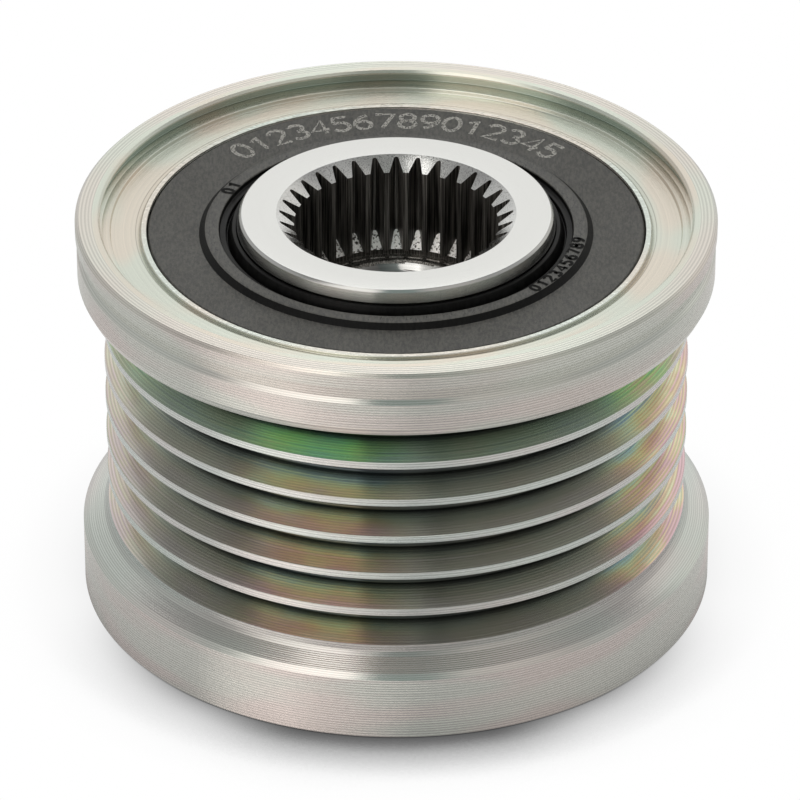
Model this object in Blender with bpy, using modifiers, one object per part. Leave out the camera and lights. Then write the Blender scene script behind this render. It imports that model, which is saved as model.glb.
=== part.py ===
"""Overrunning alternator pulley for a six-rib belt, standing on its rear flange.

The origin is on the turning axis at the rear face of the belt pulley, and +Z points out of its front, where
the hub has its toothed tool socket. The belt pulley turns on the hub: it carries a drawn outer race, in which
two rows of needle rollers run on the hub, with a roller clutch between them. The clutch lets the hub run
ahead of the belt and locks the other way. A seal closes the bearing at each end.

All sizes are in millimetres and become metres where the meshes are made. Radii build up from the hub's bore
outwards, and heights from the rear face to the front.
"""

from math import asin, atan, cos, pi, radians, sin, tan

import bmesh
import bpy
from mathutils import Matrix

MM = 0.001
AXIS_MARK = 10.0

# Facets
ROUND_SIDES = 40
ROLLER_SIDES = 8
RAMP_STEPS = 4
SMOOTH_BELOW = radians(30.0)

# Clearances
SEAT_GAP = 0.1
END_GAP = 0.2
RADIAL_PLAY = 0.1
POCKET_PLAY = 0.1
ROW_GAP = 0.4
CUT_PAST = 1.0

# Bore of the hub: shaft pilot, M16 x 1.5 thread at its core size, tool socket
THREAD_CORE_RADIUS = 7.19
THREAD_LEAD_IN = 0.56
PILOT_STEP = 1.36
PILOT_DEPTH = 8.4
PILOT_CHAMFER = 0.5
SOCKET_FLOOR_WIDTH = 1.25
RELIEF_HEIGHT = 0.53
RELIEF_OVER_TIPS = 0.4

# Internal serration of 33 teeth
TEETH = 33
TOOTH_HEIGHT = 1.27
TOOTH_TIP_WIDTH = 0.4
GAP_ROOT_WIDTH = 0.42
SERRATION_LENGTH = 8.67
RUN_OUT_HEIGHT = 1.4
RUN_OUT_START = 0.32
SOCKET_CHAMFER_HEIGHT = 1.0
SOCKET_CHAMFER_MARGIN = 0.24

# Hub
HUB_FACE_WIDTH = 2.94
HUB_CHAMFER = 0.2
HUB_FRONT_INSET = 0.1
HUB_REAR_INSET = 0.6
RACE_SHOULDER = 2.15
SHOULDER_CHAMFER = 0.3
SHOULDER_CLEARANCE = 0.5

# Needle bearings
NEEDLES = 12
NEEDLE_DIAMETER = 3.3
ROLLER_CHAMFER = 0.2
NEEDLE_CAGE_WIDTH = 7.5
NEEDLE_CAGE_INSET = 0.6
CAGE_END_RING = 0.75

# Roller clutch
CLUTCH_ROLLERS = 8
RAMP_RING_WALL = 0.75
RAMP_RISE = 0.35
RAMP_DEEP_ANGLE = radians(9.0)
RAMP_FREE_PLAY = 0.05
CLUTCH_CAGE_INSET = 0.3
CLUTCH_CAGE_LIFT = 0.2
CLUTCH_END_RING = 1.0
SPRING_LENGTH = 3.6
SPRING_FOLDS = 5
SPRING_THICKNESS = 0.15
SPRING_MARGIN = 0.25
SPRING_END_PLAY = 0.4

# Drawn outer race
RACE_WALL = 1.2
RACE_LIP_HEIGHT = 1.3
RACE_LIP_WIDTH = 1.1

# Seals, with heights measured from the face of the wide outer ring
SEAL_SEAT_STEP = 0.83
SEAL_HEIGHT = 2.34
SEAL_FRONT_INSET = 1.56
SEAL_REAR_INSET = 1.06
SEAL_EDGE = 0.13
SEAL_FOOT_WIDTH = 1.33
SEAL_FOOT_SLOPE = 0.3
SEAL_DISC_THICKNESS = 1.44
SEAL_DISH = 0.36
SEAL_RIB_WIDTH = 1.17
SEAL_RIB_CONE = 0.51
SEAL_RIB_HEIGHT = 0.1
SEAL_BEAD_WIDTH = 0.56
SEAL_BEAD_DEPTH = 0.32
SEAL_VALLEY_DEPTH = 0.74
SEAL_VALLEY_WIDTH = 0.5
LIP_GAP = 0.15
LIP_WIDTH = 0.36
LIP_HEIGHT = 0.22
LIP_ROOT_OFFSET = 0.5

# Belt grooves
GROOVES = 6
RIB_PITCH = 3.56
GROOVE_ANGLE = radians(40.0)
GROOVE_DEPTH = 2.75
CREST_LAND = 0.62
PULLEY_WALL = 1.9

# Rear flange
REAR_FLANGE_HEIGHT = 2.17
REAR_FACE_WIDTH = 5.58
REAR_EDGE = 0.1
REAR_CHAMFER = 0.42
REAR_CONE_RISE = 0.77
REAR_FILLET = 0.36
REAR_LAND = 0.54
REAR_SEAT_CHAMFER = 0.5

# Front flange
FLANGE_HEIGHT = 2.2
FLANK_ANGLE = radians(25.0)
UNDER_CHAMFER = 0.35
UNDER_CHAMFER_RISE = 0.7
BAND_DROP = 0.1
BAND_WIDTH = 2.28
NECK_DEPTH = 0.43
NECK_WIDTH = 1.06
NECK_SHOULDER_RISE = 0.37
NECK_STEP = 0.08
FRONT_LAND = 1.08
FRONT_CHAMFER = 0.3

# Front recess, with the snap groove for a dust cap and the staked edge that holds the seal
RECESS_DEPTH = 1.62
STAKE_WIDTH = 0.55
STAKE_HEIGHT = 0.14
STAKE_MOAT_WIDTH = 0.4
STAKE_MOAT_DEPTH = 0.15
RECESS_FLOOR_WIDTH = 2.07
LEDGE_HEIGHT = 0.37
LEDGE_STEP = 0.08
LEDGE_WIDTH = 0.7
CAP_LIP_STEP = 0.1
CAP_LIP_CHAMFER = 0.2
CAP_LIP_WIDTH = 0.16
SNAP_GROOVE_DEPTH = 0.4
SNAP_GROOVE_SLOPE = 0.15

# Radii that follow from these sizes
lead_in_radius = THREAD_CORE_RADIUS + THREAD_LEAD_IN
pilot_radius = THREAD_CORE_RADIUS + PILOT_STEP
relief_radius = lead_in_radius + SOCKET_FLOOR_WIDTH
tip_radius = relief_radius - RELIEF_OVER_TIPS
root_radius = tip_radius + TOOTH_HEIGHT
socket_radius = root_radius + SOCKET_CHAMFER_MARGIN
hub_radius = socket_radius + HUB_FACE_WIDTH + HUB_CHAMFER
inner_race = hub_radius + RACE_SHOULDER
needle_radius = NEEDLE_DIAMETER / 2
needle_track = inner_race + RADIAL_PLAY + needle_radius
outer_race = needle_track + needle_radius + RADIAL_PLAY
ramp_bore = inner_race + SEAT_GAP
ramp_deep = ramp_bore + RAMP_RING_WALL
ramp_high = ramp_deep + RAMP_RISE
clutch_roller_radius = (outer_race - 2 * RADIAL_PLAY - RAMP_FREE_PLAY - ramp_deep) / 2
clutch_track = outer_race - RADIAL_PLAY - clutch_roller_radius
race_outside = outer_race + RACE_WALL
race_seat = race_outside + SEAT_GAP
seal_seat = race_seat + SEAL_SEAT_STEP
seal_outside = seal_seat - SEAT_GAP
groove_root = race_seat + PULLEY_WALL
crest = groove_root + GROOVE_DEPTH
rear_flange = crest + REAR_FLANGE_HEIGHT
front_flange = crest + FLANGE_HEIGHT

# Heights that follow from these sizes
half_mouth = (RIB_PITCH - CREST_LAND) / 2
half_root = half_mouth - GROOVE_DEPTH * tan(GROOVE_ANGLE / 2)
cone_start = REAR_EDGE + REAR_FACE_WIDTH + REAR_CHAMFER
cone_end = cone_start + REAR_CONE_RISE
first_mouth = cone_end + REAR_FILLET + REAR_LAND
first_groove = first_mouth + half_mouth
last_groove = first_groove + (GROOVES - 1) * RIB_PITCH
under_edge = front_flange - BAND_DROP - UNDER_CHAMFER
under_flange = last_groove + half_mouth + (under_edge - crest) * tan(FLANK_ANGLE)
band_bottom = under_flange + UNDER_CHAMFER_RISE
band_top = band_bottom + BAND_WIDTH
neck_bottom = band_top + NECK_SHOULDER_RISE
neck_top = neck_bottom + NECK_WIDTH
land_bottom = neck_top + NECK_STEP
land_top = land_bottom + FRONT_LAND
front_face = land_top + FRONT_CHAMFER
recess_floor = front_face - RECESS_DEPTH
front_seal_face = front_face - SEAL_FRONT_INSET
front_seat = front_seal_face - SEAL_HEIGHT - SEAT_GAP
rear_seat = SEAL_REAR_INSET + SEAL_HEIGHT + SEAT_GAP
hub_front = front_face - HUB_FRONT_INSET
socket_bottom = hub_front - SERRATION_LENGTH
socket_floor = socket_bottom - RELIEF_HEIGHT
race_bottom = rear_seat + END_GAP
race_top = front_seat - END_GAP
rear_row = race_bottom + RACE_LIP_WIDTH + END_GAP
front_row = race_top - RACE_LIP_WIDTH - END_GAP - NEEDLE_CAGE_WIDTH
clutch_bottom = rear_row + NEEDLE_CAGE_WIDTH + ROW_GAP
clutch_width = front_row - ROW_GAP - clutch_bottom
clutch_middle = clutch_bottom + clutch_width / 2


def clear_scene():
    """Remove what the scene holds at the start."""
    for item in list(bpy.data.objects):
        bpy.data.objects.remove(item, do_unlink=True)


def new_collection(name):
    """A collection of the scene, for the parts or for the cutters."""
    collection = bpy.data.collections.new(name)
    bpy.context.scene.collection.children.link(collection)
    return collection


def new_material(name, colour, roughness, metallic):
    """A plain Principled material."""
    material = bpy.data.materials.new(name)
    material.use_nodes = True
    shader = material.node_tree.nodes["Principled BSDF"]
    shader.inputs["Base Color"].default_value = (*colour, 1.0)
    shader.inputs["Roughness"].default_value = roughness
    shader.inputs["Metallic"].default_value = metallic
    material.diffuse_color = (*colour, 1.0)
    return material


def new_empty(name, parts, parent=None):
    """An empty on the turning axis, which carries the pieces of one moving body."""
    empty = bpy.data.objects.new(name, None)
    empty.empty_display_size = AXIS_MARK * MM
    empty.parent = parent
    parts.objects.link(empty)
    return empty


def turned(name, profile, collection):
    """A turned body whose profile of (radius, height) points runs down its outer side.

    A profile that starts and ends on the axis is solid, and any other closes on itself as a ring.
    """
    points = [(radius * MM, 0.0, height * MM) for radius, height in profile]
    edges = [(number, number + 1) for number in range(len(points) - 1)]
    if profile[0][0] > 0:
        edges.append((len(points) - 1, 0))
    mesh = bpy.data.meshes.new(name)
    mesh.from_pydata(points, edges, [])
    body = bpy.data.objects.new(name, mesh)
    collection.objects.link(body)
    screw = body.modifiers.new("Turn", "SCREW")
    screw.angle = 2 * pi
    screw.steps = ROUND_SIDES
    screw.render_steps = ROUND_SIDES
    screw.use_merge_vertices = True
    screw.merge_threshold = 0.00001
    return body


def prism(name, outline, bottom, top, collection):
    """An upright prism over an outline of (x, y) points, between two heights."""
    shape = bmesh.new()
    corners = [shape.verts.new((x * MM, y * MM, bottom * MM)) for x, y in outline]
    raised = bmesh.ops.extrude_face_region(shape, geom=[shape.faces.new(corners)])
    upper = [item for item in raised["geom"] if isinstance(item, bmesh.types.BMVert)]
    bmesh.ops.translate(shape, vec=(0.0, 0.0, (top - bottom) * MM), verts=upper)
    bmesh.ops.recalc_face_normals(shape, faces=shape.faces)
    return body_from(shape, name, collection)


def body_from(shape, name, collection):
    """An object whose mesh is the finished bmesh."""
    mesh = bpy.data.meshes.new(name)
    shape.to_mesh(mesh)
    shape.free()
    body = bpy.data.objects.new(name, mesh)
    collection.objects.link(body)
    return body


def polar(radius, angle):
    """The (x, y) point at a radius and an angle about the axis."""
    return (radius * cos(angle), radius * sin(angle))


def as_cutter(body):
    """Show the body as a guide only."""
    body.display_type = "WIRE"
    body.hide_render = True
    return body


def combine(body, other, operation):
    """A Boolean between the body and another, which stays editable."""
    boolean = body.modifiers.new(other.name, "BOOLEAN")
    boolean.operation = operation
    boolean.object = other


def finish(body, material, parent):
    """Give the body the mesh that its modifiers make, shaded smooth up to its corners."""
    graph = bpy.context.evaluated_depsgraph_get()
    shape = bpy.data.meshes.new_from_object(body.evaluated_get(graph))
    body.modifiers.clear()
    body.data = shape
    dress(shape, body.name, material)
    body.parent = parent
    return body


def dress(mesh, name, material):
    """Name and shade a mesh and give it its material."""
    mesh.name = name
    mesh.materials.clear()
    mesh.materials.append(material)
    mesh.shade_smooth()
    mesh.set_sharp_from_angle(angle=SMOOTH_BELOW)


def groove_profile():
    """The belt grooves from the front one to the rear one, from mouth to mouth."""
    points = []
    for number in reversed(range(GROOVES)):
        middle = first_groove + number * RIB_PITCH
        points += [(crest, middle + half_mouth), (groove_root, middle + half_root)]
        points += [(groove_root, middle - half_root), (crest, middle - half_mouth)]
    return points


def front_flange_profile():
    """The outside of the front flange, from its face down to the first groove."""
    neck = front_flange - NECK_DEPTH
    band = front_flange - BAND_DROP
    return [
        (front_flange - FRONT_CHAMFER, front_face),
        (front_flange, land_top),
        (front_flange, land_bottom),
        (neck, neck_top),
        (neck, neck_bottom),
        (band, band_top),
        (band, band_bottom),
        (under_edge, under_flange),
    ]


def rear_flange_profile():
    """The rear flange, from the last groove down round its edge to the seal seat."""
    return [
        (crest, cone_end + REAR_FILLET),
        (crest + REAR_FILLET, cone_end),
        (rear_flange - REAR_CHAMFER, cone_start),
        (rear_flange, REAR_EDGE + REAR_FACE_WIDTH),
        (rear_flange, REAR_EDGE),
        (rear_flange - REAR_EDGE, 0.0),
        (seal_seat + REAR_SEAT_CHAMFER, 0.0),
        (seal_seat, REAR_SEAT_CHAMFER),
    ]


def front_recess_profile():
    """The recess in the front face, from the staked seal seat up to the face."""
    stake = seal_seat + STAKE_WIDTH
    moat = stake + STAKE_MOAT_WIDTH
    ledge = moat + RECESS_FLOOR_WIDTH
    groove_floor = ledge + LEDGE_STEP + LEDGE_WIDTH
    cap_lip = groove_floor + CAP_LIP_STEP
    snap = cap_lip + SNAP_GROOVE_DEPTH
    ledge_height = recess_floor + LEDGE_HEIGHT
    lip_bottom = front_face - CAP_LIP_CHAMFER - CAP_LIP_WIDTH
    return [
        (seal_seat, recess_floor + STAKE_HEIGHT),
        (stake, recess_floor + STAKE_HEIGHT),
        (stake, recess_floor - STAKE_MOAT_DEPTH),
        (moat, recess_floor),
        (ledge, recess_floor),
        (ledge + LEDGE_STEP, ledge_height),
        (groove_floor, ledge_height),
        (snap, ledge_height + SNAP_GROOVE_SLOPE),
        (snap, lip_bottom - SNAP_GROOVE_SLOPE),
        (cap_lip, lip_bottom),
        (cap_lip, front_face - CAP_LIP_CHAMFER),
        (cap_lip + CAP_LIP_CHAMFER, front_face),
    ]


def build_pulley_rim(parts, material, parent):
    """The belt pulley, turned in one piece with both flanges."""
    bore = [(seal_seat, rear_seat), (race_seat, rear_seat), (race_seat, front_seat), (seal_seat, front_seat)]
    outside = front_flange_profile() + groove_profile() + rear_flange_profile()
    rim = turned("pulley_rim", outside + bore + front_recess_profile(), parts)
    return finish(rim, material, parent)


def build_outer_race(parts, material, parent):
    """The drawn race pressed into the pulley, with a lip turned in at each end."""
    lip = outer_race - RACE_LIP_HEIGHT
    profile = [
        (race_outside, race_top),
        (race_outside, race_bottom),
        (lip, race_bottom),
        (lip, race_bottom + RACE_LIP_WIDTH),
        (outer_race, race_bottom + RACE_LIP_WIDTH),
        (outer_race, race_top - RACE_LIP_WIDTH),
        (lip, race_top - RACE_LIP_WIDTH),
        (lip, race_top),
    ]
    return finish(turned("outer_race_sleeve", profile, parts), material, parent)


def seal_profile():
    """The section of a seal that faces +Z, with the face of its wide ring at height 0."""
    lip_tip = hub_radius + LIP_GAP
    lip_outer = lip_tip + SEAL_EDGE / 2 + LIP_WIDTH
    bead = lip_outer + SEAL_VALLEY_WIDTH
    rib = bead + SEAL_BEAD_WIDTH
    rib_outer = rib + SEAL_EDGE / 2 + SEAL_RIB_WIDTH
    foot = seal_outside - SEAL_FOOT_WIDTH
    return [
        (seal_outside - SEAL_EDGE, 0.0),
        (seal_outside, -SEAL_EDGE),
        (seal_outside, -SEAL_HEIGHT),
        (foot, -SEAL_HEIGHT),
        (foot - SEAL_FOOT_SLOPE, -SEAL_DISC_THICKNESS),
        (rib, -SEAL_DISC_THICKNESS),
        (lip_tip + LIP_ROOT_OFFSET, SEAL_RIB_HEIGHT - SEAL_DISC_THICKNESS + SEAL_BEAD_DEPTH),
        (lip_tip, 0.0),
        (lip_tip + SEAL_EDGE / 2, LIP_HEIGHT),
        (lip_outer, LIP_HEIGHT),
        (bead - SEAL_EDGE, -SEAL_VALLEY_DEPTH),
        (bead, -SEAL_VALLEY_DEPTH),
        (bead, -SEAL_BEAD_DEPTH),
        (rib, -SEAL_BEAD_DEPTH),
        (rib + SEAL_EDGE / 2, SEAL_RIB_HEIGHT),
        (rib_outer, SEAL_RIB_HEIGHT),
        (rib_outer + SEAL_RIB_CONE, -SEAL_DISH),
    ]


def build_seals(parts, material, parent):
    """The same seal at both ends, the rear one turned over."""
    front = [(radius, front_seal_face + height) for radius, height in seal_profile()]
    rear = [(radius, SEAL_REAR_INSET - height) for radius, height in reversed(seal_profile())]
    for name, profile in (("front_seal", front), ("rear_seal", rear)):
        finish(turned(name, profile, parts), material, parent)


def serration_outline():
    """The toothed outline of the tool socket, with one gap between teeth at +Y."""
    pitch = 2 * pi / TEETH
    mouth = pitch / 2 - asin(TOOTH_TIP_WIDTH / 2 / tip_radius)
    root = asin(GAP_ROOT_WIDTH / 2 / root_radius)
    points = []
    for number in range(TEETH):
        middle = pi / 2 + number * pitch
        points += [polar(tip_radius, middle - mouth), polar(root_radius, middle - root)]
        points += [polar(root_radius, middle + root), polar(tip_radius, middle + mouth)]
    return points


def build_serration_cutter(cutters):
    """The toothed prism, which runs out of the wall on a cone at its inner end."""
    top = hub_front + CUT_PAST
    outline = serration_outline()
    cutter = prism("serration_cutter", outline, socket_floor - CUT_PAST, top + CUT_PAST, cutters)
    slope = (root_radius - tip_radius - RUN_OUT_START) / RUN_OUT_HEIGHT
    start = tip_radius + RUN_OUT_START
    run_out = [
        (0.0, top),
        (root_radius + CUT_PAST, top),
        (root_radius + CUT_PAST, socket_bottom + (root_radius + CUT_PAST - start) / slope),
        (start - RELIEF_HEIGHT * slope, socket_floor),
        (0.0, socket_floor),
    ]
    envelope = as_cutter(turned("serration_run_out", run_out, cutters))
    combine(cutter, envelope, "INTERSECT")
    return as_cutter(cutter)


def build_bore_cutters(cutters):
    """The chamfer of the tool socket, and the bore below it down to the rear face."""
    rise = SOCKET_CHAMFER_HEIGHT / (socket_radius - tip_radius)
    chamfer = [
        (0.0, hub_front + CUT_PAST),
        (socket_radius + CUT_PAST / rise, hub_front + CUT_PAST),
        (0.0, hub_front - socket_radius * rise),
    ]
    pilot_end = HUB_REAR_INSET + PILOT_DEPTH
    bore = [
        (0.0, socket_bottom),
        (relief_radius, socket_bottom),
        (relief_radius, socket_floor),
        (lead_in_radius, socket_floor),
        (THREAD_CORE_RADIUS, socket_floor - THREAD_LEAD_IN),
        (THREAD_CORE_RADIUS, pilot_end + PILOT_STEP),
        (pilot_radius, pilot_end),
        (pilot_radius, HUB_REAR_INSET + PILOT_CHAMFER),
        (pilot_radius + PILOT_CHAMFER + CUT_PAST, HUB_REAR_INSET - CUT_PAST),
        (0.0, HUB_REAR_INSET - CUT_PAST),
    ]
    socket_chamfer = as_cutter(turned("socket_chamfer", chamfer, cutters))
    return [socket_chamfer, as_cutter(turned("thread_and_pilot", bore, cutters))]


def build_hub(parts, cutters, material, parent):
    """The hub that screws onto the alternator shaft, with its needle race and its toothed socket."""
    front_shoulder = front_seal_face - SEAL_DISC_THICKNESS - SHOULDER_CLEARANCE
    rear_shoulder = SEAL_REAR_INSET + SEAL_DISC_THICKNESS + SHOULDER_CLEARANCE
    outside = [
        (hub_radius - HUB_CHAMFER, hub_front),
        (hub_radius, hub_front - HUB_CHAMFER),
        (hub_radius, front_shoulder),
        (inner_race - SHOULDER_CHAMFER, front_shoulder),
        (inner_race, front_shoulder - SHOULDER_CHAMFER),
        (inner_race, rear_shoulder + SHOULDER_CHAMFER),
        (inner_race - SHOULDER_CHAMFER, rear_shoulder),
        (hub_radius, rear_shoulder),
        (hub_radius, HUB_REAR_INSET + HUB_CHAMFER),
        (hub_radius - HUB_CHAMFER, HUB_REAR_INSET),
    ]
    blank = [(0.0, hub_front), *outside, (0.0, HUB_REAR_INSET)]
    hub = turned("inner_ring_hub", blank, parts)
    for cutter in [build_serration_cutter(cutters), *build_bore_cutters(cutters)]:
        combine(hub, cutter, "DIFFERENCE")
    return finish(hub, material, parent)


def cage_cutter(name, count, track, middle, window, offset, cutters):
    """One box for each window of a cage, set round the axis and moved along its rim by the offset."""
    depth, width, height = window
    shape = bmesh.new()
    for number in range(count):
        turn = Matrix.Rotation(2 * pi * number / count, 4, "Z")
        place = Matrix.Translation((track * MM, offset * MM, middle * MM))
        size = Matrix.Diagonal((depth * MM, width * MM, height * MM, 1.0))
        bmesh.ops.create_cube(shape, size=1.0, matrix=turn @ place @ size)
    return as_cutter(body_from(shape, name, cutters))


def ring(name, inner, outer, bottom, top, parts):
    """A plain ring of rectangular section."""
    return turned(name, [(outer, top), (outer, bottom), (inner, bottom), (inner, top)], parts)


def roller_mesh(name, radius, length, material):
    """A straight roller with chamfered ends, centred on its own origin."""
    shape = bmesh.new()
    bmesh.ops.create_cone(shape, cap_ends=True, segments=ROLLER_SIDES, radius1=radius * MM,
                          radius2=radius * MM, depth=length * MM)
    rims = [edge for edge in shape.edges if edge.verts[0].co.z * edge.verts[1].co.z > 0]
    bmesh.ops.bevel(shape, geom=rims, offset=ROLLER_CHAMFER * MM, segments=1, affect="EDGES")
    mesh = bpy.data.meshes.new(name)
    shape.to_mesh(mesh)
    shape.free()
    dress(mesh, name, material)
    return mesh


def place_rollers(name, mesh, count, track, middle, parts, parent):
    """Copies of a roller round the axis, each with its origin on its own axis."""
    for number in range(count):
        angle = 2 * pi * number / count
        roller = bpy.data.objects.new(f"{name}_{number + 1}", mesh)
        x, y = polar(track, angle)
        roller.location = (x * MM, y * MM, middle * MM)
        roller.rotation_euler = (0.0, 0.0, angle)
        roller.parent = parent
        parts.objects.link(roller)


def build_needle_row(name, bottom, parts, cutters, steel, cage_material, axis):
    """One row of needle rollers in its cage, which goes round at about half the pulley's speed."""
    middle = bottom + NEEDLE_CAGE_WIDTH / 2
    pocket_length = NEEDLE_CAGE_WIDTH - 2 * CAGE_END_RING
    cage = ring(f"{name}_cage", inner_race + NEEDLE_CAGE_INSET, outer_race - NEEDLE_CAGE_INSET,
                bottom, bottom + NEEDLE_CAGE_WIDTH, parts)
    window = (2 * NEEDLE_DIAMETER, NEEDLE_DIAMETER + 2 * POCKET_PLAY, pocket_length)
    cutter = cage_cutter(f"{name}_pockets", NEEDLES, needle_track, middle, window, 0.0, cutters)
    combine(cage, cutter, "DIFFERENCE")
    cage = finish(cage, cage_material, axis)
    needle = roller_mesh(name, needle_radius, pocket_length - 2 * POCKET_PLAY, steel)
    place_rollers(name, needle, NEEDLES, needle_track, middle, parts, cage)


def ramp_outline():
    """The outside of the ramp ring, which rises from a deep corner behind each roller."""
    sector = 2 * pi / CLUTCH_ROLLERS
    points = []
    for number in range(CLUTCH_ROLLERS):
        start = (number - 1) * sector + RAMP_DEEP_ANGLE
        for step in range(RAMP_STEPS):
            share = step / (RAMP_STEPS - 1)
            points.append(polar(ramp_high - RAMP_RISE * share, start + sector * share))
    return points


def build_ramp_ring(parts, cutters, material, parent):
    """The ring of clutch ramps that is pressed onto the middle of the hub's race."""
    top = clutch_bottom + clutch_width
    body = prism("clutch_ramp_ring", ramp_outline(), clutch_bottom, top, parts)
    bore = [(0.0, top + CUT_PAST), (ramp_bore, top + CUT_PAST),
            (ramp_bore, clutch_bottom - CUT_PAST), (0.0, clutch_bottom - CUT_PAST)]
    combine(body, as_cutter(turned("ramp_ring_bore", bore, cutters)), "DIFFERENCE")
    finish(body, material, parent)


def spring_mesh(name, inner, outer, start, end, height, material):
    """A folded leaf spring between two angles, upright, as a strip with even thickness."""
    shape = bmesh.new()
    rows = []
    for fold in range(SPRING_FOLDS + 1):
        x, y = polar(outer if fold % 2 == 0 else inner, start + (end - start) * fold / SPRING_FOLDS)
        rows.append([shape.verts.new((x * MM, y * MM, side * height / 2 * MM)) for side in (-1, 1)])
    for (low, high), (next_low, next_high) in zip(rows, rows[1:]):
        shape.faces.new((low, next_low, next_high, high))
    bmesh.ops.recalc_face_normals(shape, faces=shape.faces)
    bmesh.ops.solidify(shape, geom=shape.faces, thickness=SPRING_THICKNESS * MM)
    bmesh.ops.recalc_face_normals(shape, faces=shape.faces)
    mesh = bpy.data.meshes.new(name)
    shape.to_mesh(mesh)
    shape.free()
    dress(mesh, name, material)
    return mesh


def build_clutch(parts, cutters, steel, cage_material, parent):
    """The clutch between the needle rows: ramp ring, cage, rollers and the springs behind them."""
    build_ramp_ring(parts, cutters, steel, parent)
    cage_inner = ramp_high + CLUTCH_CAGE_LIFT
    cage_outer = outer_race - CLUTCH_CAGE_INSET
    window_height = clutch_width - 2 * CLUTCH_END_RING
    near_end = clutch_roller_radius + 2 * POCKET_PLAY
    far_end = near_end + SPRING_LENGTH
    cage = ring("clutch_cage", cage_inner, cage_outer, clutch_bottom, clutch_bottom + clutch_width, parts)
    window = (4 * clutch_roller_radius, near_end + far_end, window_height)
    cutter = cage_cutter("clutch_windows", CLUTCH_ROLLERS, clutch_track, clutch_middle, window,
                         (far_end - near_end) / 2, cutters)
    combine(cage, cutter, "DIFFERENCE")
    finish(cage, cage_material, parent)
    roller = roller_mesh("clutch_roller", clutch_roller_radius, window_height - 2 * POCKET_PLAY, steel)
    place_rollers("clutch_roller", roller, CLUTCH_ROLLERS, clutch_track, clutch_middle, parts, parent)
    spring_inner = cage_inner + SPRING_MARGIN
    spring_outer = cage_outer - SPRING_MARGIN
    start = asin((far_end - SPRING_END_PLAY) / spring_outer)
    end = atan((near_end + SPRING_MARGIN) / spring_inner)
    spring = spring_mesh("clutch_spring", spring_inner, spring_outer, start, end,
                         window_height - 2 * SPRING_END_PLAY, steel)
    for number in range(CLUTCH_ROLLERS):
        body = bpy.data.objects.new(f"clutch_spring_{number + 1}", spring)
        body.location = (0.0, 0.0, clutch_middle * MM)
        body.rotation_euler = (0.0, 0.0, 2 * pi * number / CLUTCH_ROLLERS)
        body.parent = parent
        parts.objects.link(body)


def build():
    """Build every piece, with the hub as the body that the others turn on."""
    clear_scene()
    parts = new_collection("alternator_pulley")
    cutters = new_collection("cutters")
    plated = new_material("zinc_plated_steel", (0.62, 0.62, 0.58), 0.3, 1.0)
    ground = new_material("ground_steel", (0.8, 0.8, 0.79), 0.2, 1.0)
    bearing = new_material("bearing_steel", (0.55, 0.55, 0.55), 0.25, 1.0)
    rubber = new_material("black_rubber", (0.03, 0.03, 0.03), 0.6, 0.0)
    plastic = new_material("cage_plastic", (0.12, 0.1, 0.07), 0.5, 0.0)
    hub_axis = new_empty("hub_axis", parts)
    pulley_axis = new_empty("pulley_axis", parts, hub_axis)
    build_hub(parts, cutters, ground, hub_axis)
    build_clutch(parts, cutters, bearing, plastic, hub_axis)
    build_needle_row("front_needle", front_row, parts, cutters, bearing, plastic, hub_axis)
    build_needle_row("rear_needle", rear_row, parts, cutters, bearing, plastic, hub_axis)
    build_pulley_rim(parts, plated, pulley_axis)
    build_outer_race(parts, bearing, pulley_axis)
    build_seals(parts, rubber, pulley_axis)


build()
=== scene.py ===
"""Looks of the overrunning alternator pulley: fine turned meshes, finishes, studio light and camera.

Sizes are in millimetres and become metres where meshes are made. The outlines of the turned pieces
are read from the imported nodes, so every piece here has the place and size of the node it stands for.
"""

from math import acos, ceil, cos, hypot, pi, radians, sin, tan
from random import Random

import bmesh
import bpy
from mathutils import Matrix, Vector


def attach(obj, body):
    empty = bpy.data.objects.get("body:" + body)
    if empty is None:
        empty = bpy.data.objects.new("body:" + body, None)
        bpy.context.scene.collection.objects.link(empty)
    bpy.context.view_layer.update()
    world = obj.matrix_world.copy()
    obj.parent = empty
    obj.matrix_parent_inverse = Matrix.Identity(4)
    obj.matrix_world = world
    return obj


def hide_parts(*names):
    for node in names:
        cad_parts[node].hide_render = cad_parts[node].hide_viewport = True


MM = 0.001

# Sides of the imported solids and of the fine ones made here
NODE_SIDES = 40
FINE_SIDES = 200
HUB_SIDES = 264

# Camera, from the photograph's perspective
CAMERA_ELEVATION = radians(31.11)
CAMERA_DISTANCE = 550.0
CAMERA_TARGET = (0.317, 0.0, 16.61)
CAMERA_LENS = 289.0

# Light of the surroundings: edges between its sectors in degrees (0 at the front, positive to the
# right) with how soft each is, and the sectors' colours from the back round by the left, below and
# above 42 degrees; then the zenith and the round lamp near it, by its place and reach in the sky
LIGHT_EDGES = ((-150, 24), (-115, 24), (-64, 16), (-15, 1.2), (23, 8), (75, 20), (115, 20), (150, 24))
LOW_LIGHT = ((0.95, 0.95, 0.93), (0.58, 0.58, 0.57), (0.6, 0.6, 0.59), (1.6, 1.51, 1.44),
             (0.32, 0.35, 0.34), (0.54, 0.53, 0.5), (0.54, 0.54, 0.53), (0.8, 0.79, 0.76))
MIDDLE_LIGHT = ((1.9, 1.9, 1.87), (0.3, 0.3, 0.3), (0.37, 0.37, 0.36), (1.6, 1.57, 1.5),
                (0.34, 0.42, 0.4), (0.7, 0.68, 0.65), (0.48, 0.48, 0.47), (0.3, 0.3, 0.3))
TOP_LIGHT = (0.28, 0.285, 0.275)
LAMP_LIGHT = (1.8, 1.78, 1.72)
LAMP_PLACE = (-0.22, -0.11)
LAMP_REACH = (0.15, 0.08)

# Floor: how bright metal mirrors it, close to the object and in the open, how far the soft shadow
# reaches, and the shares of open sky between which it fades
FLOOR_MIRRORED = (0.25, 0.7)
SHADOW_REACH = 14.0
SHADOW_SKY = (0.42, 0.9)

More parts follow.
